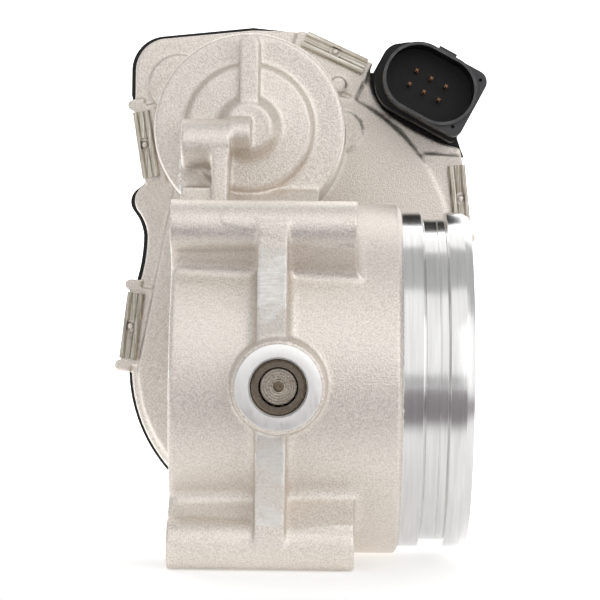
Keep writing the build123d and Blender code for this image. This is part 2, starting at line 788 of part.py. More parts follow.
def plate_screw_bore(y):
    """Hole for a plate screw, with a flat seat for its head."""
    bore = Solid.make_cylinder(PLATE_SCREW_R, 14, Plane(origin=(y, 0, -5.6)))
    seat = Solid.make_cylinder(3.9, 4, Plane(origin=(y, 0, 4.0)))
    return plate_frame().location * bore.fuse(seat)


def valve_plate():
    """Round throttle plate with a rounded edge and two screw holes."""
    edge = PLATE_THICKNESS / 2
    profile = Face(
        Wire.make_polygon(
            [
                Vector(0, 0, -edge),
                Vector(PLATE_R - 0.6, 0, -edge),
                Vector(PLATE_R, 0, -edge + 0.6),
                Vector(PLATE_R, 0, edge - 0.6),
                Vector(PLATE_R - 0.6, 0, edge),
                Vector(0, 0, edge),
            ]
        )
    )
    plate = Solid.revolve(profile, 360, Axis.Z)
    for y in PLATE_SCREW_Y:
        plate -= Solid.make_cylinder(PLATE_SCREW_R, 10, Plane(origin=(y, 0, -5)))
    return plate_frame().location * plate


def plate_screws():
    """Two screws that clamp the plate in the shaft's slot."""
    made = []
    for y in PLATE_SCREW_Y:
        shank = Solid.make_cylinder(PLATE_SCREW_R, 9.4, Plane(origin=(y, 0, -5.4)))
        head = Solid.make_cylinder(3.6, 2.0, Plane(origin=(y, 0, 4.0)))
        recess = Solid.make_cylinder(1.3, 1.2, Plane(origin=(y, 0, 4.9)))
        wings = [
            Solid.make_box(3.4, 0.7, 1.2, Plane(origin=(y - 1.7, -0.35, 4.9))).rotate(
                Axis((y, 0, 0), (0, 0, 1)), 60 * k
            )
            for k in range(3)
        ]
        screw = shank.fuse(head) - recess
        for wing in wings:
            screw -= wing
        made.append(plate_frame().location * screw)
    return pieces(*made)


def bearing_cup(y):
    """Drawn cup of a needle bearing, with its two turned-in lips."""
    end = y + BEARING_LENGTH
    inside = BEARING_R - CUP_WALL
    return turned(
        SHAFT_X,
        0,
        (CUP_LIP_R, y),
        (inside, y),
        (BEARING_R - 0.24, y + 0.24),
        (BEARING_R, y + CUP_WALL),
        (BEARING_R, end - CUP_WALL),
        (BEARING_R - 0.24, end - 0.24),
        (inside, end),
        (CUP_LIP_R, end),
        (CUP_LIP_R, end - CUP_WALL),
        (inside, end - CUP_WALL),
        (inside, y + CUP_WALL),
        (CUP_LIP_R, y + CUP_WALL),
    )


def roller_circle():
    return (SHAFT_R + BEARING_R - CUP_WALL) / 2


def needle_rollers(y):
    made = []
    for k in range(ROLLER_COUNT):
        x, z = polar(SHAFT_X, 0, roller_circle(), 360 / ROLLER_COUNT * k)
        made.append(rod(x, z, y + 1.7, y + BEARING_LENGTH - 1.7, ROLLER_R))
    return pieces(*made)


def needle_cage(y):
    """Cage with a pocket for each roller."""
    cage = tube(SHAFT_X, 0, y + 1.0, y + BEARING_LENGTH - 1.0, 6.3, 5.35)
    for k in range(ROLLER_COUNT):
        x, z = polar(SHAFT_X, 0, roller_circle(), 360 / ROLLER_COUNT * k)
        cage -= rod(x, z, y + 1.6, y + BEARING_LENGTH - 1.6, ROLLER_R + 0.05)
    return cage


def shaft_seal(y):
    """Lip seal beside a needle bearing."""
    return turned(
        SHAFT_X,
        0,
        (SHAFT_R + 0.03, y + 0.5),
        (SHAFT_R + 0.03, y + 0.9),
        (SHAFT_R + 0.9, y + SEAL_LENGTH - 0.7),
        (SHAFT_R + 1.4, y + SEAL_LENGTH),
        (BEARING_R, y + SEAL_LENGTH),
        (BEARING_R, y),
        (SHAFT_R + 0.8, y),
    )


# ---------------------------------------------------------------- springs
def return_spring():
    """Torsion spring around the gear-side bearing post, with a straight tang at each end."""
    height = SPRING_PITCH * SPRING_TURNS
    path = Edge.make_helix(SPRING_PITCH, height, SPRING_R)
    start, end = path.position_at(0), path.position_at(1)
    leave, arrive = path.tangent_at(0), path.tangent_at(1)
    section = Wire.make_circle(SPRING_WIRE_R, Plane(origin=start, z_dir=leave))
    coil = Solid.sweep(Face(section), path=path, is_frenet=True)
    tangs = [
        Solid.make_cylinder(SPRING_WIRE_R, SPRING_TANG, Plane(origin=start, z_dir=-leave)),
        Solid.make_cylinder(SPRING_WIRE_R, SPRING_TANG, Plane(origin=end, z_dir=arrive)),
    ]
    coil = united(coil, *tangs)
    place = Plane(origin=(SHAFT_X, SPRING_START, 0), x_dir=(1, 0, 0), z_dir=(0, 1, 0))
    return place.location * coil


def spring_guide():
    """Plastic sleeve between the spring and the bearing post."""
    sleeve = tube(SHAFT_X, 0, 52.2, 62.4, 12.2, 10.0)
    flange = tube(SHAFT_X, 0, 52.2, 52.8, 17.5, 10.0)
    return united(sleeve, flange)


# ---------------------------------------------------------------- motor
def motor_can():
    """Drawn steel can with a hub for the rear bush."""
    x, z = MOTOR_X, MOTOR_Z
    return turned(
        x,
        z,
        (2.4, CAN_REAR - 8.4),
        (5.5, CAN_REAR - 8.4),
        (5.5, CAN_REAR),
        (CAN_R - 1.0, CAN_REAR),
        (CAN_R, CAN_REAR + 1.0),
        (CAN_R, CAN_FRONT),
        (CAN_R - CAN_WALL, CAN_FRONT),
        (CAN_R - CAN_WALL, CAN_REAR + CAN_WALL),
        (4.5, CAN_REAR + CAN_WALL),
        (4.5, CAN_REAR - 7.4),
        (2.4, CAN_REAR - 7.4),
    )


def motor_magnets():
    """Two arc magnets inside the can."""
    ring = tube(MOTOR_X, MOTOR_Z, 8.0, 46.0, CAN_R - CAN_WALL, MAGNET_INNER_R)
    gap = 9.0
    slot = block(MOTOR_X - gap / 2, MOTOR_X + gap / 2, 0, 60, MOTOR_Z - 30, MOTOR_Z + 30)
    return pieces(*(ring - slot).solids())


def motor_armature():
    """Laminated core with open slots."""
    core = rod(MOTOR_X, MOTOR_Z, 12.0, 42.0, CORE_R)
    for k in range(ARMATURE_SLOTS):
        turn = 360 / ARMATURE_SLOTS * k
        core -= slot_shape(turn, 11.0, 43.0, 0.0)
    return core - rod(MOTOR_X, MOTOR_Z, 0, 60, MOTOR_SHAFT_R)


def slot_shape(turn, y0, y1, shrink):
    """A round-bottomed slot in the armature at an angle, shrunk all round by shrink."""
    cx, cz = polar(MOTOR_X, MOTOR_Z, SLOT_CENTRE_R, turn)
    pocket = rod(cx, cz, y0, y1, SLOT_R - shrink)
    if shrink > 0:
        return pocket
    mouth = block(0, CORE_R + 2, y0, y1, -0.7, 0.7)
    mouth = mouth.moved(Location((SLOT_CENTRE_R, 0, 0)))
    mouth = mouth.rotate(Axis((0, 0, 0), (0, -1, 0)), turn)
    mouth = mouth.moved(Location((MOTOR_X, 0, MOTOR_Z)))
    return pocket.fuse(mouth)


def motor_windings():
    """Copper in the slots and the end turns at both ends of the core."""
    ends = [
        turned(MOTOR_X, MOTOR_Z, (4.2, 7.0), (12.5, 7.0), (14.0, 8.5), (14.0, 11.9), (4.2, 11.9)),
        turned(MOTOR_X, MOTOR_Z, (6.6, 42.1), (14.0, 42.1), (14.0, 45.5), (12.5, 47.0), (6.6, 47.0)),
    ]
    bars = [
        slot_shape(360 / ARMATURE_SLOTS * k, 11.5, 42.5, 0.08) for k in range(ARMATURE_SLOTS)
    ]
    return united(ends[0], ends[1], *bars)


def motor_commutator():
    """Segmented copper drum."""
    drum = tube(MOTOR_X, MOTOR_Z, 47.5, 55.5, 5.8, MOTOR_SHAFT_R)
    for k in range(ARMATURE_SLOTS):
        groove = block(5.0, 7.0, 47.0, 56.0, -0.2, 0.2)
        groove = groove.rotate(Axis((0, 0, 0), (0, -1, 0)), 360 / ARMATURE_SLOTS * (k + 0.5))
        drum -= groove.moved(Location((MOTOR_X, 0, MOTOR_Z)))
    return drum


def motor_shaft():
    return rod(MOTOR_X, MOTOR_Z, CAN_REAR - 7.0, PINION_Y[1] + 0.4, MOTOR_SHAFT_R)


def motor_rear_bush():
    return tube(MOTOR_X, MOTOR_Z, CAN_REAR - 7.2, CAN_REAR - 1.0, 4.5, MOTOR_SHAFT_R + 0.03)


def motor_front_bush():
    return tube(MOTOR_X, MOTOR_Z, 57.5, 63.0, 4.5, MOTOR_SHAFT_R + 0.03)


def motor_end_plate():
    """Plate that closes the can and carries the front bush, with an ear for each screw."""
    plate = rod(MOTOR_X, MOTOR_Z, SHALLOW_FLOOR, SHALLOW_FLOOR + END_PLATE_THICKNESS, 24.6)
    parts = [plate, rod(MOTOR_X, MOTOR_Z, 57.5, 63.0, 7.0)]
    for x, z in MOTOR_SCREWS:
        parts.append(rod(x, z, SHALLOW_FLOOR, SHALLOW_FLOOR + END_PLATE_THICKNESS, 3.8))
        turn = math.degrees(math.atan2(z - MOTOR_Z, x - MOTOR_X))
        length = math.hypot(x - MOTOR_X, z - MOTOR_Z)
        arm = block(0, length, SHALLOW_FLOOR, SHALLOW_FLOOR + END_PLATE_THICKNESS, -3.8, 3.8)
        arm = arm.rotate(Axis((0, 0, 0), (0, -1, 0)), turn)
        parts.append(arm.moved(Location((MOTOR_X, 0, MOTOR_Z))))
    body = united(*parts)
    body -= rod(MOTOR_X, MOTOR_Z, 50, 70, 4.5)
    body -= rod(MIDDLE_X, MIDDLE_Z, 50, 70, 5.6)
    for x, z in MOTOR_SCREWS:
        body -= rod(x, z, 50, 70, 1.95)
    for x, z in terminal_places():
        body -= block(x - 2.1, x + 2.1, 50, 70, z - 0.7, z + 0.7)
    return body


def motor_brush_holder():
    """Moulded ring behind the end plate with a box for each brush."""
    ring = tube(MOTOR_X, MOTOR_Z, 55.0, 57.3, CAN_R - CAN_WALL, 9.0)
    boxes = []
    for side in (-1, 1):
        low, high = sorted((side * 7.5, side * 18.0))
        shell = block(MOTOR_X + low, MOTOR_X + high, 48.6, 57.3, MOTOR_Z - 3.4, MOTOR_Z + 3.4)
        inner = block(MOTOR_X - 20, MOTOR_X + 20, 49.5, 54.0, MOTOR_Z - 2.3, MOTOR_Z + 2.3)
        boxes.append(shell - inner)
    body = united(ring, *boxes)
    for x, z in terminal_places():
        body -= block(x - 2.1, x + 2.1, 50, 70, z - 0.7, z + 0.7)
    return body


def motor_brushes():
    made = []
    for side in (-1, 1):
        low, high = sorted((side * 5.85, side * 13.0))
        made.append(block(MOTOR_X + low, MOTOR_X + high, 49.6, 53.9, MOTOR_Z - 2.2, MOTOR_Z + 2.2))
    return pieces(*made)


def terminal_places():
    return ((MOTOR_X - 6.0, MOTOR_Z + 15.5), (MOTOR_X + 6.0, MOTOR_Z + 15.5))


def motor_terminals():
    """Two blades that plug into the cover's lead frame."""
    return pieces(
        *[block(x - 2.0, x + 2.0, 55.6, 74.8, z - 0.4, z + 0.4) for x, z in terminal_places()]
    )


def motor_screws():
    made = []
    for x, z in MOTOR_SCREWS:
        top = SHALLOW_FLOOR + END_PLATE_THICKNESS
        shank = rod(x, z, 55.0, top, 1.7)
        head = rod(x, z, top, top + 2.2, 3.2)
        recess = rod(x, z, top + 0.9, top + 2.3, 1.5)
        made.append(shank.fuse(head) - recess)
    return pieces(*made)


# ---------------------------------------------------------------- cover, seal, clips, electrics
def connector_frame():
    """Local X runs along the rows of pins, local Y across them and local Z towards the cover."""
    a = math.radians(CONNECTOR_TILT)
    return Plane(
        origin=(CONNECTOR_X, 0, CONNECTOR_Z), x_dir=(math.cos(a), 0, math.sin(a)), z_dir=(0, 1, 0)
    )


def rounded_plate(x0, x1, y0, y1, radii, z0, z1):
    """A rectangle with its four corner radii (x0y0, x1y0, x1y1, x0y1), from z0 to z1."""
    a, b, c, d = radii
    k = 1 - math.sqrt(0.5)
    edges = []

    def line(p, q):
        if (Vector(*p) - Vector(*q)).length > 1e-6:
            edges.append(Edge.make_line(Vector(*p), Vector(*q)))

    def arc(p, m, q):
        edges.append(Edge.make_three_point_arc(Vector(*p), Vector(*m), Vector(*q)))

    line((x0 + a, y0), (x1 - b, y0))
    arc((x1 - b, y0), (x1 - b * k, y0 + b * k), (x1, y0 + b))
    line((x1, y0 + b), (x1, y1 - c))
    arc((x1, y1 - c), (x1 - c * k, y1 - c * k), (x1 - c, y1))
    line((x1 - c, y1), (x0 + d, y1))
    arc((x0 + d, y1), (x0 + d * k, y1 - d * k), (x0, y1 - d))
    line((x0, y1 - d), (x0, y0 + a))
    arc((x0, y0 + a), (x0 + a * k, y0 + a * k), (x0 + a, y0))
    face = Face(Wire(edges)).moved(Location((0, 0, z0)))
    return Solid.extrude(face, Vector(0, 0, z1 - z0))


def shroud(grow, z0, z1):
    """The connector's oval, grown all round, between two depths."""
    half_l, half_w = SHROUD_LENGTH / 2 + grow, SHROUD_WIDTH / 2 + grow
    round_end = half_w - 0.2
    return rounded_plate(-half_l, half_l, -half_w, half_w, (round_end,) * 4, z0, z1)


def connector_block():
    """Pedestal, flange, open shroud and latch, in the connector's own frame."""
    half_w = SHROUD_WIDTH / 2
    pedestal = rounded_plate(-16.1, FLANGE_RIGHT, -10.2, 11.6, (8.8, 3.0, 1.6, 9.6), 46.0, 66.0)
    flange = rounded_plate(2.0, FLANGE_RIGHT, -10.4, 10.6, (0.5, 3.6, 2.4, 0.5), FLANGE_FACE, 47.0)
    latch = Solid.make_box(5.8, 2.0, 11.0, Plane(origin=(-2.8, -half_w - 0.9, SHROUD_FACE + 1.0)))
    body = united(pedestal, flange, shroud(0.0, SHROUD_FACE, 47.0), latch)
    body -= shroud(-SHROUD_WALL, SHROUD_FACE - 1, SHROUD_FLOOR)
    for x, y in ((12.7, -8.1), (12.1, 8.1)):
        body -= Solid.make_cylinder(0.55, 2.5, Plane(origin=(x, y, FLANGE_FACE - 0.5)))
    return body


def pin_places():
    """Local (x, y) of the six pins, the upper row first."""
    return [
        (PIN_FIRST_COLUMN + column * PIN_PITCH, PIN_FIRST_ROW + row * PIN_ROW)
        for row in (0, 1)
        for column in range(3)
    ]


def connector_pins():
    """Six square pins with pointed tips, which pass through the shroud's floor."""
    made = []
    half = PIN_SIZE / 2
    for x, y in pin_places():
        shank = Solid.make_box(
            PIN_SIZE, PIN_SIZE, LEAD_Y[0] - PIN_TIP - 1.0, Plane(origin=(x - half, y - half, PIN_TIP + 1.0))
        )
        tip = Solid.make_cone(0.2, half, 1.0, Plane(origin=(x, y, PIN_TIP)))
        made.append(connector_frame().location * shank.fuse(tip))
    return pieces(*made)


def dome_outline():
    """Outline of the cover's raised part: over the gears, and over the back of the connector."""
    return inset(tray_outline(), DOME_SETBACK)


def connector_back(grow, y0, y1):
    """Raised part of the cover behind the connector."""
    g = grow
    plate = rounded_plate(-16.6 - g, 13.4 + g, -9.3 - g, 15.7 + g, (6, 5, 5, 6), y0, y1)
    bridge = block(48.0, 62.0, y0, y1, 80.0 - grow, 91.5 + grow)
    return united(connector_frame().location * plate, bridge)


def gear_cover():
    """Moulded cover: rim, dome and connector in one piece, with posts for the pin and the seal groove."""
    rim = slab(tray_outline(COVER_PROUD, COVER_SIDE_PROUD), JOINT_PLANE, COVER_RIM_BACK)
    connector = connector_frame().location * connector_block()
    corner = outline((74, 66), (84.3, 66), (83.1, 68.9), (82.1, 72.0), (82.0, 74.5), (76, 78))
    foot = slab(corner, JOINT_PLANE, 65.0)
    rim = rim.fuse(connector, foot, connector_back(0.4, JOINT_PLANE + 0.2, COVER_RIM_BACK))
    dome = slab(dome_outline(), COVER_RIM_BACK - 1, COVER_ROOF - LID_STEP)
    lid = slab(inset(dome_outline(), 2.0), COVER_ROOF - 3, COVER_ROOF)
    dome = dome.fuse(connector_back(0.0, COVER_RIM_BACK - 1, COVER_ROOF - LID_STEP))
    body = rim.fuse(dome, lid)
    body -= slab(inset(tray_outline(), RIM_WIDTH), JOINT_PLANE - 1, COVER_ROOF_INSIDE)
    body -= connector_back(-2.2, 66.0, COVER_ROOF_INSIDE - 2.5)
    body = body.fuse(tube(MIDDLE_X, MIDDLE_Z, 76.6, COVER_ROOF_INSIDE + 1, 5.5, PIN_R), *board_posts())
    body -= cover_seal()
    for inner in (*connector_pins().solids(), *lead_frame().solids()):
        body -= inner
    return body


def cover_seal():
    """Rubber ring in the groove of the cover's rim."""
    outer = inset(tray_outline(), 1.6)
    inner = inset(tray_outline(), 3.4)
    return slab(outer, JOINT_PLANE, JOINT_PLANE + 1.5) - slab(inner, JOINT_PLANE - 1, JOINT_PLANE + 3)


def clip_section():
    """A clip's bent strip, in local Y and Z: lip, valley on the pad, ridge, web and back leg."""
    front = PAD_FACE - CLIP_THICKNESS / 2 - CLIP_GAP
    back = COVER_RIM_BACK + CLIP_THICKNESS / 2 + CLIP_GAP
    web = CLIP_THICKNESS / 2 + 2 * CLIP_GAP
    path = FilletPolyline(
        (-4.6, front - 0.3),
        (-4.1, front - 0.9),
        (-3.2, front - 0.9),
        (-2.6, front),
        (-1.0, front),
        (-0.5, front - 0.5),
        (web, front - 0.5),
        (web, back),
        (-2.4, back),
        radius=0.3,
    )
    return trace(path, line_width=CLIP_THICKNESS).face()


def cover_clips():
    """Spring-steel channels that hold the cover to the tray, slid on from the edge."""
    made = []
    section = clip_section()
    for name in CLIPS:
        upright = Plane(origin=(-CLIP_LENGTH / 2, 0, 0), x_dir=(0, 1, 0), z_dir=(1, 0, 0))
        clip = Solid.extrude(upright.location * section, Vector(CLIP_LENGTH, 0, 0))
        window = rounded_plate(-2.1, 2.1, -2.9, -0.4, (1.2,) * 4, PAD_FACE - 3, PAD_FACE + 2)
        made.append(clip_plane(name).location * (clip - window))
    return pieces(*made)


def sensor_board():
    """Board on the cover's roof that carries the position sensor's tracks."""
    board = rod(SHAFT_X, 0, BOARD_FACE, LEAD_Y[0], 16.0)
    tail = block(SHAFT_X - 9, SHAFT_X + 9, BOARD_FACE, LEAD_Y[0], 0, 24.0)
    return united(board, tail)


def board_posts():
    """Low posts between the cover's roof and the board."""
    places = ((-12, -6), (-12, 6), (0, -13), (-6, 21))
    return [rod(SHAFT_X + x, z, LEAD_Y[0], COVER_ROOF_INSIDE + 0.5, 2.0) for x, z in places]


def wiper_carrier():
    """Plastic disc on the gear's hub that holds the wipers."""
    return tube(SHAFT_X, 0, 71.6, 73.4, 12.6, SHAFT_R)


def wiper_fingers():
    """Four bent strips that run on the board's tracks."""
    made = []
    for r in (5.8, 7.6, 9.4, 11.2):
        x = SHAFT_X + r
        foot = block(x - 0.5, x + 0.5, 73.4, 73.8, -4.0, 1.0)
        rise = block(x - 0.5, x + 0.5, 73.4, 76.0, 1.0, 1.4)
        tip = block(x - 0.5, x + 0.5, 75.7, BOARD_FACE - 0.3, 1.0, 3.0)
        made.append(united(foot, rise, tip))
    return pieces(*made)


def strip(points, width, y0, y1):
    """A flat conductor through (x, z) points, with round bends and ends."""
    made = [rod(x, z, y0, y1, width / 2) for x, z in points]
    for (ax, az), (bx, bz) in zip(points, points[1:]):
        length = math.hypot(bx - ax, bz - az)
        leg = block(0, length, y0, y1, -width / 2, width / 2)
        leg = leg.rotate(Axis((0, 0, 0), (0, -1, 0)), math.degrees(math.atan2(bz - az, bx - ax)))
        made.append(leg.moved(Location((ax, 0, az))))
    return united(*made)


def in_row_frame(x, y):
    """The (x, z) of a point given in the connector's own frame."""
    point = connector_frame().from_local_coords(Vector(x, y, 0))
    return (point.X, point.Z)


def lead_frame():
    """Six flat conductors under the cover's roof: two to the motor's blades, four to the board."""
    (left_x, blade_z), (right_x, _) = terminal_places()
    pins = pin_places()
    middle, right = pins[1][0], pins[2][0]
    upper, lower = PIN_FIRST_ROW, PIN_FIRST_ROW + PIN_ROW
    routes = [
        [in_row_frame(*pins[0]), (58.0, 90.3), (left_x, 90.3), (left_x, blade_z)],
        [in_row_frame(*pins[3]), (58.0, 86.8), (right_x, 86.8), (right_x, blade_z)],
    ]
    sides = (
        (middle, lower, middle),
        (middle, upper, middle + 2.5),
        (right, lower, right),
        (right, upper, right + 2.5),
    )
    for k, (x, y, lane) in enumerate(sides):
        landing = 20.0 - 3.5 * k
        top = in_row_frame(lane, 6.0)
        down = math.radians(CONNECTOR_TILT - 90)
        length = (top[1] - landing) / -math.sin(down)
        corner = (top[0] + length * math.cos(down), landing)
        routes.append([in_row_frame(x, y), in_row_frame(lane, y), top, corner, (35.0, landing)])
    made = []
    for route in routes:
        points = [p for k, p in enumerate(route) if k == 0 or p != route[k - 1]]
        made.append(strip(points, LEAD_WIDTH, *LEAD_Y))
    for k, (x, z) in enumerate(terminal_places()):
        fork = block(x - 2.6, x + 2.6, 71.5, LEAD_Y[1], z - 1.2, z + 1.2)
        fork -= block(x - 2.0, x + 2.0, 71.0, 74.9, z - 0.4, z + 0.4)
        made[k] = united(made[k], fork)
    return pieces(*made)


def intermediate_pin():
    return rod(MIDDLE_X, MIDDLE_Z, 50.5, COVER_ROOF_INSIDE, PIN_R)


# ---------------------------------------------------------------- export
PARTS = {
    "throttle_housing": throttle_housing,
    "throttle_shaft": throttle_shaft,
    "valve_plate": valve_plate,
    "plate_screws": plate_screws,
    "near_bearing_cup": lambda: bearing_cup(NEAR_BEARING_Y),
    "gear_bearing_cup": lambda: bearing_cup(GEAR_BEARING_Y),
    "near_needle_cage": lambda: needle_cage(NEAR_BEARING_Y),
    "gear_needle_cage": lambda: needle_cage(GEAR_BEARING_Y),
    "near_needle_rollers": lambda: needle_rollers(NEAR_BEARING_Y),
    "gear_needle_rollers": lambda: needle_rollers(GEAR_BEARING_Y),
    "near_shaft_seal": lambda: shaft_seal(NEAR_BEARING_Y + BEARING_LENGTH),
    "gear_shaft_seal": lambda: shaft_seal(GEAR_BEARING_Y - SEAL_LENGTH),
    "sector_gear": sector_gear,
    "gear_insert": gear_insert,
    "intermediate_gear": intermediate_gear,
    "intermediate_pin": intermediate_pin,
    "return_spring": return_spring,
    "spring_guide": spring_guide,
    "closed_stop_screw": closed_stop_screw,
    "motor_can": motor_can,
    "motor_magnets": motor_magnets,
    "motor_armature": motor_armature,
    "motor_windings": motor_windings,
    "motor_commutator": motor_commutator,
    "motor_shaft": motor_shaft,
    "motor_pinion": motor_pinion,
    "motor_rear_bush": motor_rear_bush,
    "motor_front_bush": motor_front_bush,
    "motor_end_plate": motor_end_plate,
    "motor_brush_holder": motor_brush_holder,
    "motor_brushes": motor_brushes,
    "motor_terminals": motor_terminals,
    "motor_screws": motor_screws,
    "gear_cover": gear_cover,
    "cover_seal": cover_seal,
    "cover_clips": cover_clips,
    "connector_pins": connector_pins,
    "lead_frame": lead_frame,
    "sensor_board": sensor_board,
    "wiper_carrier": wiper_carrier,
    "wiper_fingers": wiper_fingers,
}

os.makedirs("parts", exist_ok=True)
for node, make in PARTS.items():
    export_step(make(), f"parts/{node}.step")
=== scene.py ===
import json
import math

import bmesh
import bpy
import numpy as np
from mathutils import Matrix, Vector
from mathutils.bvhtree import BVHTree


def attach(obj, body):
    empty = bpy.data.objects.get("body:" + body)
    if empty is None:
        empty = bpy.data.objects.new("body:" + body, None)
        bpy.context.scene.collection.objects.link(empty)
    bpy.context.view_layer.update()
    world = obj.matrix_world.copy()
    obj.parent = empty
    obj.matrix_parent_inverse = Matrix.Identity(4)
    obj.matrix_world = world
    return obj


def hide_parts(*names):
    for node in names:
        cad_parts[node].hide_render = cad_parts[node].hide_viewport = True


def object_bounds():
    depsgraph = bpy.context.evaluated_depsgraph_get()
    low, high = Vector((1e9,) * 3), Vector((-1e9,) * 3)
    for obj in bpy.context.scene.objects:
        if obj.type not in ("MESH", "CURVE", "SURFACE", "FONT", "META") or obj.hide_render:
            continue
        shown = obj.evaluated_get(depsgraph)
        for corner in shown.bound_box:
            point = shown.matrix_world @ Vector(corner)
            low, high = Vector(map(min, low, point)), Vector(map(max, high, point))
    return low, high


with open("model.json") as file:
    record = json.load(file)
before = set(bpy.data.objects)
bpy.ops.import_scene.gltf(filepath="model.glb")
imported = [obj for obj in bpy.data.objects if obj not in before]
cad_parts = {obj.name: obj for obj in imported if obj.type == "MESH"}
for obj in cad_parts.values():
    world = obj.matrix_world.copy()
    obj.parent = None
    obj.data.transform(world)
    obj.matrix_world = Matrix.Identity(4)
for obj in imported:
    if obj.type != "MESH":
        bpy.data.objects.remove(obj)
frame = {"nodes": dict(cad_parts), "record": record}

cad_low, cad_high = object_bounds()
NODES = frame["nodes"]

# ---------------------------------------------------------------- measures of the object, in metres
MM = 0.001
BORE_R = 41.0 * MM
SHOULDER_X = 62.6 * MM
SHAFT_X = 29.5 * MM
SHAFT_RECESS_Y = -50 * MM
RIB_X, RIB_HALF_WIDTH, RIB_FACE_Y = 27.5 * MM, 4.2 * MM, -50.2 * MM
RIB_END_R = 12.5 * MM
MOTOR_X, MOTOR_Z = 19.6 * MM, 70.7 * MM
CAN_SEAT_R = 21.9 * MM
BOLT_HALF_PITCH, BOLT_FACE_R = 42.5 * MM, 3.9 * MM
MANIFOLD_FACE_R = 62 * MM
SIDE_BOSS_Y, SIDE_BOSS_Z, SIDE_BOSS_END_X = -14 * MM, 66 * MM, 13 * MM
TRAY_FRONT, PAD_FACE, TRAY_RIM = 51.5 * MM, 55.2 * MM, 56.9 * MM
# The tray's low steps start at STEP_START and are flattened by this share.
STEP_START, STEP_RISE, STEP_FLATTENING = 48 * MM, 4.9 * MM, 0.4
# The lathe-turned pieces take over from the casting's skin inside these radii.
SPIGOT_CUT_R, RING_CUT_R, RING_CUT_Y = 48.5 * MM, 11.25 * MM, -55.6 * MM
# Depths of the connector's front faces, which get a painted grey sheen, and of its rim, which gets a
# line of wear and painted highlight.
CONNECTOR_FRONT, CONNECTOR_RIM = (0.0333, 0.0335), (0.0321, 0.0323)
# How far each group of clips leans, in degrees.
CLIP_LEAN_UPPER, CLIP_LEAN_LOW = -65.8, 58.5


# ---------------------------------------------------------------- shader helpers
class Shader:
    """A node material under construction. Methods return sockets, so they nest."""

    def __init__(self, name):
        self.material = bpy.data.materials.new(name)
        self.material.use_nodes = True
        self.tree = self.material.node_tree
        self.tree.nodes.clear()
        self.out = self.node("ShaderNodeOutputMaterial")
        self.bsdf = self.node("ShaderNodeBsdfPrincipled")
        self.link(self.bsdf.outputs["BSDF"], self.out.inputs["Surface"])
        self.place = self.node("ShaderNodeTexCoord").outputs["Object"]

    def node(self, kind, **settings):
        made = self.tree.nodes.new(kind)
        for key, value in settings.items():
            setattr(made, key, value)
        return made

    def link(self, source, target):
        self.tree.links.new(source, target)

    def feed(self, target, value):
        """Puts a socket's link or a plain value into an input."""
        if isinstance(value, bpy.types.NodeSocket):
            self.link(value, target)
        else:
            target.default_value = value

    def math(self, operation, a, b=0.0):
        made = self.node("ShaderNodeMath", operation=operation)
        self.feed(made.inputs[0], a)
        self.feed(made.inputs[1], b)
        return made.outputs[0]

    def stretched(self, scale):
        """The object's coordinates, each axis scaled."""
        made = self.node("ShaderNodeMapping")
        self.link(self.place, made.inputs["Vector"])
        made.inputs["Scale"].default_value = scale
        return made.outputs[0]

    def noise(self, scale, detail, rough=0.55, vector=None):
        made = self.node("ShaderNodeTexNoise")
        self.link(vector or self.place, made.inputs["Vector"])
        made.inputs["Scale"].default_value = scale
        made.inputs["Detail"].default_value = detail
        made.inputs["Roughness"].default_value = rough
        return made.outputs[0]

    def span(self, value, low, high, to_low, to_high):
        """Value mapped from one range to another, clamped."""
        made = self.node("ShaderNodeMapRange")
        self.feed(made.inputs[0], value)
        for k, number in enumerate((low, high, to_low, to_high)):
            made.inputs[k + 1].default_value = number
        return made.outputs[0]

    def ramp(self, value, *stops):
        """Colours along a value, as (place, colour) stops."""
        made = self.node("ShaderNodeValToRGB")
        self.feed(made.inputs[0], value)
        bar = made.color_ramp.elements
        while len(bar) < len(stops):
            bar.new(0.5)
        for element, (at, colour) in zip(bar, stops):
            element.position = at
            element.color = (*colour, 1)
        return made.outputs[0]

    def mix(self, share, a, b):
        """Colour a turning into colour b."""
        made = self.node("ShaderNodeMix", data_type="RGBA")
        self.feed(made.inputs[0], share)
        for k, value in ((6, a), (7, b)):
            self.feed(made.inputs[k], value if isinstance(value, bpy.types.NodeSocket) else (*value, 1))
        return made.outputs[2]

    def axis(self, name):
        """One coordinate of the surface point."""
        made = self.node("ShaderNodeSeparateXYZ")
        self.link(self.place, made.inputs[0])
        return made.outputs[name]

    def bump(self, height, distance, strength=1.0, after=None):
        made = self.node("ShaderNodeBump")
        self.feed(made.inputs["Height"], height)
        made.inputs["Distance"].default_value = distance
        made.inputs["Strength"].default_value = strength
        if after is not None:
            self.link(after, made.inputs["Normal"])
        return made.outputs[0]

    def set(self, **values):
        """Feeds the shader's inputs. An underscore stands for a space."""
        for key, value in values.items():
            target = self.bsdf.inputs[key.replace("_", " ")]
            if isinstance(value, tuple):
                value = (*value, 1)
            self.feed(target, value)
        return self


def cast_aluminium():
    """Bead-blasted casting: a warm grey with sparkling grain and faint, wide cloudiness."""
    s = Shader("cast_aluminium")
    cloud = s.noise(55, 4)
    grain = s.noise(2100, 2, 0.65)
    fleck = s.noise(2900, 1, 0.5)
    pits = s.noise(700, 3, 0.6)
    colour = s.ramp(cloud, (0.3, (0.61, 0.555, 0.50)), (0.7, (0.68, 0.625, 0.57)))
    colour = s.mix(s.span(grain, 0.38, 0.60, 0.0, 1.0), colour, (0.83, 0.775, 0.715))
    colour = s.mix(s.span(fleck, 0.60, 0.74, 0.0, 0.7), colour, (0.95, 0.93, 0.89))
    s.set(Base_Color=colour, Metallic=0.9, Roughness=s.span(grain, 0.3, 0.7, 0.38, 0.54))
    normal = s.bump(pits, 0.00012, 0.5)
    s.set(Normal=s.bump(grain, 0.00015, 0.9, normal))
    return s.material


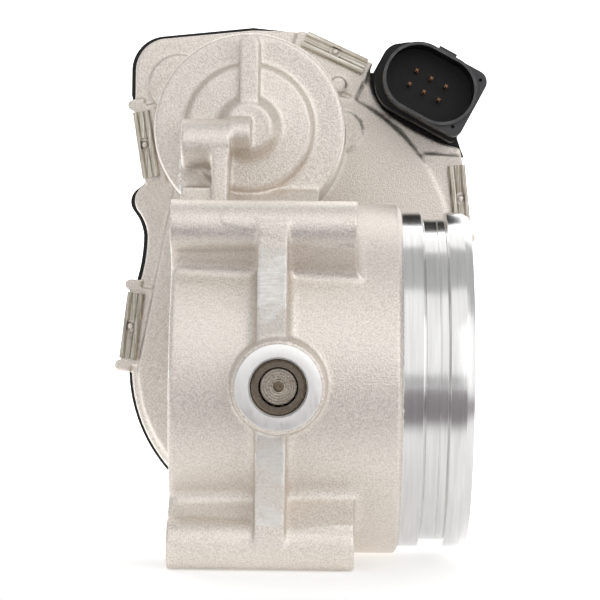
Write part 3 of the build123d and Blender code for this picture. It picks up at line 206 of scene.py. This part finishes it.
def turned_aluminium():
    """Fine-turned aluminium: grooves too fine to see, which blur a reflection along the bore."""
    s = Shader("turned_aluminium")
    rings = s.noise(1.0, 3, 0.7, s.stretched((7000, 10, 10)))
    streak = s.noise(1.0, 2, 0.5, s.stretched((900, 45, 45)))
    wear = s.noise(260, 4, 0.6)
    colour = s.ramp(streak, (0.3, (0.64, 0.635, 0.63)), (0.7, (0.75, 0.745, 0.74)))
    s.set(
        Base_Color=s.mix(s.span(wear, 0.58, 0.72, 0.0, 0.35), colour, (0.66, 0.65, 0.63)),
        Metallic=1.0,
        Roughness=s.span(rings, 0.3, 0.7, 0.12, 0.24),
        Normal=s.bump(rings, 0.00002, 0.5),
    )
    return s.material


def faced_aluminium():
    """Satin, milled or faced aluminium."""
    s = Shader("faced_aluminium")
    lay = s.noise(1.0, 3, 0.6, s.stretched((2500, 2500, 500)))
    s.set(
        Base_Color=s.ramp(lay, (0.3, (0.91, 0.90, 0.88)), (0.7, (0.97, 0.965, 0.95))),
        Metallic=0.9,
        Roughness=s.span(lay, 0.3, 0.7, 0.30, 0.46),
        Normal=s.bump(lay, 0.00003, 0.4),
    )
    return s.material


def filed_aluminium():
    """A cast rib dressed with a file: short bright strokes across it, with casting grain between."""
    s = Shader("filed_aluminium")
    stroke = s.noise(1.0, 3, 0.6, s.stretched((260, 260, 1500)))
    patch = s.noise(130, 3, 0.6)
    grain = s.noise(1700, 2, 0.65)
    where = s.math(
        "MULTIPLY", s.span(patch, 0.46, 0.60, 0.0, 1.0), s.span(stroke, 0.35, 0.65, 0.3, 1.0)
    )
    base = s.ramp(grain, (0.35, (0.63, 0.585, 0.54)), (0.65, (0.76, 0.72, 0.67)))
    s.set(
        Base_Color=s.mix(where, base, (0.86, 0.85, 0.82)),
        Metallic=s.span(where, 0.0, 1.0, 0.7, 0.95),
        Roughness=s.span(where, 0.0, 1.0, 0.55, 0.34),
        Normal=s.bump(s.mix(where, grain, stroke), 0.00012, 0.7),
    )
    return s.material


def rolled_steel(name, degrees):
    """Nickel-coloured spring strip with the rolling marks that run along it."""
    s = Shader(name)
    turned = s.node("ShaderNodeMapping", vector_type="TEXTURE")
    s.link(s.place, turned.inputs["Vector"])
    turned.inputs["Rotation"].default_value = (0.0, math.radians(degrees), 0.0)
    along = s.node("ShaderNodeMapping")
    s.link(turned.outputs[0], along.inputs["Vector"])
    along.inputs["Scale"].default_value = (2600, 900, 45)
    streak = s.noise(1.0, 3, 0.6, along.outputs[0])
    stain = s.noise(210, 3, 0.6)
    colour = s.ramp(
        streak, (0.32, (0.36, 0.325, 0.27)), (0.5, (0.56, 0.52, 0.45)), (0.68, (0.80, 0.77, 0.70))
    )
    s.set(
        Base_Color=s.mix(s.span(stain, 0.5, 0.7, 0.0, 0.45), colour, (0.34, 0.29, 0.23)),
        Metallic=1.0,
        Roughness=s.span(streak, 0.3, 0.7, 0.38, 0.2),
        Normal=s.bump(streak, 0.00004, 0.5),
    )
    return s.material


def turned_steel():
    """The faced end of the shaft: rings around its centre, stained by oil."""
    s = Shader("turned_steel")
    x = s.math("SUBTRACT", s.axis("X"), SHAFT_X)
    z = s.axis("Z")
    radius = s.math("SQRT", s.math("ADD", s.math("MULTIPLY", x, x), s.math("MULTIPLY", z, z)))
    rings = s.math("SINE", s.math("MULTIPLY", radius, 9000.0))
    stain = s.noise(380, 3, 0.6)
    fine = s.noise(2400, 2, 0.5)
    tone = s.math("ADD", s.math("MULTIPLY", rings, 0.12), fine)
    colour = s.ramp(tone, (0.35, (0.34, 0.29, 0.235)), (0.65, (0.60, 0.55, 0.48)))
    s.set(
        Base_Color=s.mix(s.span(stain, 0.5, 0.7, 0.0, 0.5), colour, (0.26, 0.20, 0.15)),
        Metallic=1.0,
        Roughness=s.span(fine, 0.3, 0.7, 0.24, 0.4),
        Normal=s.bump(tone, 0.00005, 0.7),
    )
    return s.material


def black_moulding():
    """Glass-filled black moulding, with a painted grey sheen on the connector's front faces and a rim
    line that is partly wear and partly a painted highlight.
    """
    s = Shader("black_plastic")
    fine = s.noise(1500, 2)
    rubbed = s.noise(420, 4, 0.6)
    # The connector's front faces get a painted grey sheen in place of real light.
    painted_sheen_face = s.span(s.axis("Y"), *CONNECTOR_FRONT, 1.0, 0.0)
    rim = s.span(s.axis("Y"), *CONNECTOR_RIM, 1.0, 0.0)
    colour = s.ramp(fine, (0.3, (0.004, 0.004, 0.004)), (0.75, (0.010, 0.010, 0.010)))
    colour = s.mix(painted_sheen_face, colour, (0.052, 0.053, 0.056))
    # The light grey line along the rim is partly wear and partly a painted highlight.
    wear_and_highlight = s.math("MULTIPLY", rim, s.span(rubbed, 0.4, 0.6, 0.3, 1.0))
    s.set(
        Base_Color=s.mix(wear_and_highlight, colour, (0.09, 0.09, 0.09)),
        Roughness=s.span(fine, 0.3, 0.7, 0.36, 0.5),
        Specular_IOR_Level=0.32,
        Normal=s.bump(fine, 0.00003, 0.5),
    )
    return s.material


def plain_metal(name, colour, rough, metallic=1.0):
    """A metal with a fine, faint grain."""
    s = Shader(name)
    fine = s.noise(900, 3)
    dark = tuple(c * 0.82 for c in colour)
    s.set(
        Base_Color=s.ramp(fine, (0.3, dark), (0.7, colour)),
        Metallic=metallic,
        Roughness=s.span(fine, 0.3, 0.7, rough * 0.8, rough * 1.2),
        Normal=s.bump(fine, 0.00003, 0.4),
    )
    return s.material


def plastic(name, colour, rough):
    """A moulded plastic with a fine spark-eroded texture."""
    s = Shader(name)
    fine = s.noise(1500, 2)
    light = tuple(min(1.0, c * 1.35 + 0.006) for c in colour)
    s.set(
        Base_Color=s.ramp(fine, (0.3, colour), (0.75, light)),
        Roughness=s.span(fine, 0.3, 0.7, rough * 0.85, rough * 1.15),
        Normal=s.bump(fine, 0.00003, 0.5),
    )
    return s.material


LOOKS = {
    "cast_aluminium": cast_aluminium(),
    "shaft_steel": plain_metal("shaft_steel", (0.46, 0.44, 0.41), 0.32),
    "plate_brass": plain_metal("plate_brass", (0.72, 0.58, 0.34), 0.3),
    "screw_steel": plain_metal("screw_steel", (0.52, 0.51, 0.48), 0.35),
    "bearing_steel": plain_metal("bearing_steel", (0.24, 0.20, 0.16), 0.26),
    "near_black_steel": plain_metal("near_black_steel", (0.05, 0.043, 0.036), 0.3),
    "turned_steel": turned_steel(),
    "spring_steel": plain_metal("spring_steel", (0.42, 0.40, 0.37), 0.3),
    "clip_steel": rolled_steel("clip_steel", 0),
    "clip_steel_tilted": rolled_steel("clip_steel_tilted", CLIP_LEAN_UPPER),
    "clip_steel_low": rolled_steel("clip_steel_low", CLIP_LEAN_LOW),
    "black_plastic": black_moulding(),
    "seal_rubber": plastic("seal_rubber", (0.02, 0.02, 0.02), 0.7),
    "gear_plastic": plastic("gear_plastic", (0.72, 0.68, 0.58), 0.45),
    "holder_plastic": plastic("holder_plastic", (0.10, 0.095, 0.09), 0.5),
    "contact_copper": plain_metal("contact_copper", (0.50, 0.27, 0.15), 0.35),
    "winding_copper": plain_metal("winding_copper", (0.62, 0.28, 0.12), 0.35),
    "can_steel": plain_metal("can_steel", (0.50, 0.50, 0.49), 0.4, 0.9),
    "core_steel": plain_metal("core_steel", (0.22, 0.22, 0.22), 0.5, 0.8),
    "magnet_ferrite": plain_metal("magnet_ferrite", (0.09, 0.09, 0.10), 0.6, 0.3),
    "bush_bronze": plain_metal("bush_bronze", (0.50, 0.36, 0.20), 0.45),
    "brush_carbon": plain_metal("brush_carbon", (0.05, 0.05, 0.05), 0.6, 0.2),
    "board_laminate": plastic("board_laminate", (0.05, 0.13, 0.08), 0.4),
    "turned_aluminium": turned_aluminium(),
    "faced_aluminium": faced_aluminium(),
    "filed_aluminium": filed_aluminium(),
}

SLOT_OF = {s["node"]: s["material_slot"] for s in frame["record"]["subparts"]}
for name, piece in NODES.items():
    piece.data.materials.clear()
    piece.data.materials.append(LOOKS[SLOT_OF[name]])


def clip_marks():
    """Turns the rolling marks with each clip: the upper right one leans, and so do the two lowest."""
    mesh = NODES["cover_clips"].data
    for look in ("clip_steel_tilted", "clip_steel_low"):
        mesh.materials.append(LOOKS[look])
    for face in mesh.polygons:
        x, _, z = face.center
        if (z > 88 * MM and x > 25 * MM) or (z < -20 * MM and x < 29 * MM):
            face.material_index = 1
        elif z < -20 * MM:
            face.material_index = 2


def shaft_marks():
    """The shaft's bare end is faced on a lathe, and the rollers beside it are made near black."""
    mesh = NODES["throttle_shaft"].data
    mesh.materials.append(LOOKS["turned_steel"])
    for face in mesh.polygons:
        if face.center.y < SHAFT_RECESS_Y:
            face.material_index = 1
    for name in ("near_needle_rollers", "near_needle_cage"):
        NODES[name].data.materials[0] = LOOKS["near_black_steel"]


clip_marks()
shaft_marks()

# ---------------------------------------------------------------- the casting
def new_piece(name, mesh):
    """A piece of the cast housing's skin."""
    made = bpy.data.objects.new(name, mesh)
    bpy.context.scene.collection.objects.link(made)
    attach(made, "housing")
    return made


def rows_of(items, attribute, width, kind=float):
    """One attribute of all a mesh's items, as a table with a row for each."""
    flat = np.empty(len(items) * width, kind)
    items.foreach_get(attribute, flat)
    return flat.reshape(-1, width)


def remeshed(source, voxel):
    """A copy of a closed piece as even quads, which can be smoothed."""
    copy = source.copy()
    copy.data = source.data.copy()
    copy.parent = None
    bpy.context.scene.collection.objects.link(copy)
    weld = copy.modifiers.new("weld", "WELD")
    weld.merge_threshold = 1e-6
    even = copy.modifiers.new("even", "REMESH")
    even.mode = "VOXEL"
    even.voxel_size = voxel
    mesh = bpy.data.meshes.new_from_object(copy.evaluated_get(bpy.context.evaluated_depsgraph_get()))
    bpy.data.objects.remove(copy)
    return mesh


def machined(co):
    """1 where the casting is machined or hidden, and so keeps its exact shape."""
    x, y, z = co.T
    from_bore = np.hypot(y, z)
    from_shaft = np.hypot(x - SHAFT_X, z)
    from_motor = np.hypot(x - MOTOR_X, z - MOTOR_Z)
    keep = from_bore < BORE_R + 0.4 * MM
    keep |= (x < 0.3 * MM) & (from_bore > BORE_R)
    keep |= (x > SHOULDER_X - 1.2 * MM) & (from_bore < 49.8 * MM)
    keep |= (y < -55.4 * MM) & (from_shaft < 11.8 * MM)
    keep |= from_shaft < 7.9 * MM
    for sy in (-1, 1):
        for sz in (-1, 1):
            keep |= np.hypot(y - sy * BOLT_HALF_PITCH, z - sz * BOLT_HALF_PITCH) < BOLT_FACE_R
    keep |= y > TRAY_RIM
    keep |= from_motor < CAN_SEAT_R
    keep &= ~((from_motor < CAN_SEAT_R) & (y < 0) & (from_shaft > 13 * MM))
    keep |= (np.hypot(y - SIDE_BOSS_Y, z - SIDE_BOSS_Z) < 2.9 * MM) & (x < SIDE_BOSS_END_X)
    return keep


def relaxed(co, normals_of, edges, free, hollows, hollow_rounds):
    """Vertex places after smoothing: hollows fill out round by round, then everything softens once.

    free says how much each vertex may move at all, and hollows how much in the first stage.
    """
    a, b = edges.T
    count = np.bincount(a, minlength=len(co)) + np.bincount(b, minlength=len(co))
    count = np.maximum(count, 1)[:, None]

    def pull(places):
        near = np.empty_like(places)
        for k in range(3):
            near[:, k] = np.bincount(a, places[b, k], len(co)) + np.bincount(b, places[a, k], len(co))
        return near / count - places

    normals = normals_of(co)
    for _ in range(hollow_rounds):
        step = pull(co)
        outward = (step * normals).sum(1)
        rise = np.maximum(outward, 0)[:, None] * normals
        co = co + rise * (free * hollows)[:, None] * 0.6
    return co + pull(co) * free[:, None] * 0.5


def cast_marks(co, keep):
    """The tray's steps are low, and a parting line crosses the upper near web as a faint step."""
    x, y, z = co.T
    share = np.clip((y - STEP_START) / STEP_RISE, 0, 1) * (y < PAD_FACE) * ~keep
    y = y + STEP_FLATTENING * (PAD_FACE - y) * share
    right = x - 13.3 * MM
    above = z - (42.9 * MM - 0.24 * (x - 14.5 * MM))
    bend = 2 * MM
    inside = bend - np.hypot(np.maximum(bend - right, 0), np.maximum(bend - above, 0))
    lift = np.clip(inside / (0.3 * MM) + 0.5, 0, 1) * np.clip((30 * MM - x) / (5 * MM), 0, 1)
    y = y - 0.15 * MM * lift * (y < -40 * MM) * ~keep
    return np.column_stack((x, y, z))


def turned_away(x, y, z):
    """True where a lathe-turned piece takes over from the casting's skin."""
    if x > SHOULDER_X and math.hypot(y, z) < SPIGOT_CUT_R:
        return True
    return y < RING_CUT_Y and math.hypot(x - SHAFT_X, z) < RING_CUT_R


VOXEL, HOLLOW_ROUNDS, KEPT_SHARE = 0.48 * MM, 6, 0.45
CAST, TURNED, FACED, FILED = range(4)


def casting():
    """The cast housing with the soft fillets and edges of a die casting."""
    source = NODES["throttle_housing"]
    mesh = remeshed(source, VOXEL)
    mesh.name = "housing_casting"
    co = rows_of(mesh.vertices, "co", 3)
    edges = rows_of(mesh.edges, "vertices", 2, int)

    def normals_of(places):
        mesh.vertices.foreach_set("co", places.ravel())
        mesh.update()
        return rows_of(mesh.vertex_normals, "vector", 3)

    keep = machined(co)
    hollows = np.where(co[:, 1] > TRAY_FRONT, 0.0, 1.0)
    co = relaxed(co, normals_of, edges, 1.0 - keep, hollows, HOLLOW_ROUNDS)
    tree = BVHTree.FromObject(source, bpy.context.evaluated_depsgraph_get())
    for k in np.nonzero(keep)[0]:
        nearest = tree.find_nearest(Vector(co[k]), 1.0 * MM)[0]
        if nearest is not None:
            co[k] = nearest
    co = cast_marks(co, keep)
    mesh.vertices.foreach_set("co", co.ravel())
    work = bmesh.new()
    work.from_mesh(mesh)
    gone = [f for f in work.faces if all(turned_away(*v.co) for v in f.verts)]
    bmesh.ops.delete(work, geom=gone, context="FACES")
    work.to_mesh(mesh)
    work.free()
    piece = new_piece("housing_casting", mesh)
    thin = piece.modifiers.new("thin", "DECIMATE")
    thin.ratio = KEPT_SHARE
    shape = bpy.data.meshes.new_from_object(piece.evaluated_get(bpy.context.evaluated_depsgraph_get()))
    piece.modifiers.clear()
    piece.data = shape
    shape.materials.clear()
    # In the order of CAST, TURNED, FACED and FILED.
    for look in ("cast_aluminium", "turned_aluminium", "faced_aluminium", "filed_aluminium"):
        shape.materials.append(LOOKS[look])
    for face in shape.polygons:
        face.use_smooth = True
        x, y, z = face.center
        from_shaft = math.hypot(x - SHAFT_X, z)
        if math.hypot(y, z) < BORE_R + 0.3 * MM:
            face.material_index = TURNED
        elif abs(x) < 0.1 * MM and math.hypot(y, z) < MANIFOLD_FACE_R:
            face.material_index = FACED
        elif abs(x - RIB_X) < RIB_HALF_WIDTH and y < RIB_FACE_Y and from_shaft > RIB_END_R:
            face.material_index = FILED
    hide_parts("throttle_housing")


def about_bore(along, u, v):
    return (along, u, v)


def about_shaft(along, u, v):
    return (SHAFT_X + u, along, v)


LATHE_TURNS = 256


def lathe(name, profile, look, place):
    """A piece of the housing turned about an axis, from (distance along it, radius) in millimetres."""
    turns = LATHE_TURNS
    points, faces = [], []
    for k in range(turns):
        a = 2 * math.pi * k / turns
        points += [place(d * MM, r * MM * math.cos(a), r * MM * math.sin(a)) for d, r in profile]
    n = len(profile)
    for k in range(turns):
        for i in range(n):
            j = (i + 1) % n
            here, there = k * n, (k + 1) % turns * n
            faces.append((here + i, here + j, there + j, there + i))
    mesh = bpy.data.meshes.new(name)
    mesh.from_pydata(points, [], faces)
    mesh.materials.append(LOOKS[look])
    piece = new_piece(name, mesh)
    work = bmesh.new()
    work.from_mesh(mesh)
    bmesh.ops.recalc_face_normals(work, faces=work.faces)
    work.to_mesh(mesh)
    work.free()
    for face in mesh.polygons:
        face.use_smooth = True
    sharp = piece.modifiers.new("crisp", "EDGE_SPLIT")
    sharp.split_angle = math.radians(20)
    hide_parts("throttle_housing")


def spigot():
    """The machined duct spigot with its two bands, groove and chamfered lip."""
    profile = [
        (62.3, 47.5),
        (68.15, 47.5),
        (68.35, 47.42),
        (68.95, 45.75),
        (69.1, 45.6),
        (72.6, 45.6),
        (72.75, 45.74),
        (72.95, 45.74),
        (73.05, 45.66),
        (74.85, 45.66),
        (75.0, 45.8),
        (75.4, 47.42),
        (75.55, 47.5),
        (79.75, 47.5),
        (79.9, 47.45),
        (81.9, 46.4),
        (82.0, 46.25),
        (82.0, 43.5),
        (81.9, 43.3),
        (76.0, 41.02),
        (62.3, 41.0),
    ]
    lathe("housing_spigot", profile, "turned_aluminium", about_bore)


def bearing_ring():
    """The faced end of the bearing boss, with a crisp rim and a chamfered bore."""
    profile = [
        (-53.0, 7.52),
        (-56.45, 7.52),
        (-57.04, 8.0),
        (-57.04, 11.26),
        (-57.0, 11.38),
        (-56.88, 11.46),
        (-55.0, 11.46),
    ]
    lathe("housing_bearing_face", profile, "faced_aluminium", about_shaft)


casting()
spigot()
bearing_ring()

# ---------------------------------------------------------------- floor, light and camera
FLOOR_Z = cad_low.z - 0.0002


def sweep():
    """Pale studio floor that curves up into a backdrop."""
    reach, back, rise, bend = 3.0, 1.2, 3.0, 0.8
    profile = [(-3.0, 0.0), (back, 0.0)]
    for k in range(1, 25):
        a = math.radians(90 * k / 24)
        profile.append((back + bend * math.sin(a), bend - bend * math.cos(a)))
    profile.append((back + bend, rise))
    points, faces = [], []
    for y, z in profile:
        points += [(-reach, y, FLOOR_Z + z), (reach, y, FLOOR_Z + z)]
    for k in range(len(profile) - 1):
        faces.append((2 * k, 2 * k + 1, 2 * k + 3, 2 * k + 2))
    mesh = bpy.data.meshes.new("studio_floor")
    mesh.from_pydata(points, [], faces)
    floor = bpy.data.objects.new("studio_floor", mesh)
    bpy.context.scene.collection.objects.link(floor)
    for face in mesh.polygons:
        face.use_smooth = True
    s = Shader("floor")
    soft = s.noise(2.0, 2)
    depth, across = s.axis("Y"), s.axis("X")
    pale = s.ramp(soft, (0.3, (0.93, 0.93, 0.93)), (0.7, (0.95, 0.95, 0.95)))
    # It glows under and behind the object, and a grey strip before it darkens the spigot's reflection.
    glow = s.math(
        "ADD", s.span(depth, -0.118, -0.090, 0.0, 0.24), s.span(depth, -0.03, 0.05, 0.0, 0.66)
    )
    length = s.math(
        "MULTIPLY", s.span(depth, -0.130, -0.102, 1.0, 0.0), s.span(depth, -0.95, -0.70, 0.0, 1.0)
    )
    width = s.math(
        "MULTIPLY", s.span(across, -0.22, -0.12, 0.0, 1.0), s.span(across, 0.28, 0.38, 1.0, 0.0)
    )
    s.set(
        Base_Color=s.mix(s.math("MULTIPLY", length, width), pale, (0.27, 0.245, 0.262)),
        Roughness=0.9,
        Emission_Color=s.ramp(soft, (0.3, (1.0, 1.0, 1.0)), (0.7, (0.99, 0.99, 0.99))),
        Emission_Strength=glow,
    )
    mesh.materials.append(s.material)


def lamp(name, place, size, watts):
    """A white rectangular lamp turned to the object's middle."""
    data = bpy.data.lights.new(name, "AREA")
    data.shape = "RECTANGLE"
    data.size, data.size_y = size
    data.energy = watts
    lamp_object = bpy.data.objects.new(name, data)
    bpy.context.scene.collection.objects.link(lamp_object)
    lamp_object.location = place
    lamp_object.rotation_euler = (Vector(CENTRE) - Vector(place)).to_track_quat("-Z", "Y").to_euler()


sweep()
CENTRE = (0.035, 0.0, 0.025)
lamp("key", (0.24, -0.92, 0.66), (1.9, 1.3), 4.8)
lamp("side", (0.75, -0.80, 0.25), (0.9, 1.0), 2.2)
lamp("top", (0.05, 0.50, 0.90), (1.0, 0.6), 1.5)

world = bpy.data.worlds.new("studio")
bpy.context.scene.world = world
world.use_nodes = True
background = world.node_tree.nodes["Background"]
background.inputs["Color"].default_value = (1, 1, 1, 1)
background.inputs["Strength"].default_value = 0.58

CAMERA_X, CAMERA_DISTANCE, CAMERA_Z = 0.0402, 0.700, 0.0342
CAMERA_ROLL = math.radians(-0.7)
camera_data = bpy.data.cameras.new("camera")
camera = bpy.data.objects.new("camera", camera_data)
bpy.context.scene.collection.objects.link(camera)
camera.location = (CAMERA_X, -CAMERA_DISTANCE, CAMERA_Z)
upright = Matrix.Rotation(math.radians(90), 3, "X")
camera.rotation_euler = (Matrix.Rotation(CAMERA_ROLL, 3, "Y") @ upright).to_euler()
camera_data.lens = 147
camera_data.shift_x = -0.0342
camera_data.shift_y = -0.0701
camera_data.clip_start = 0.01
camera_data.clip_end = 50
bpy.context.scene.camera = camera

bpy.context.scene.view_settings.view_transform = "Standard"
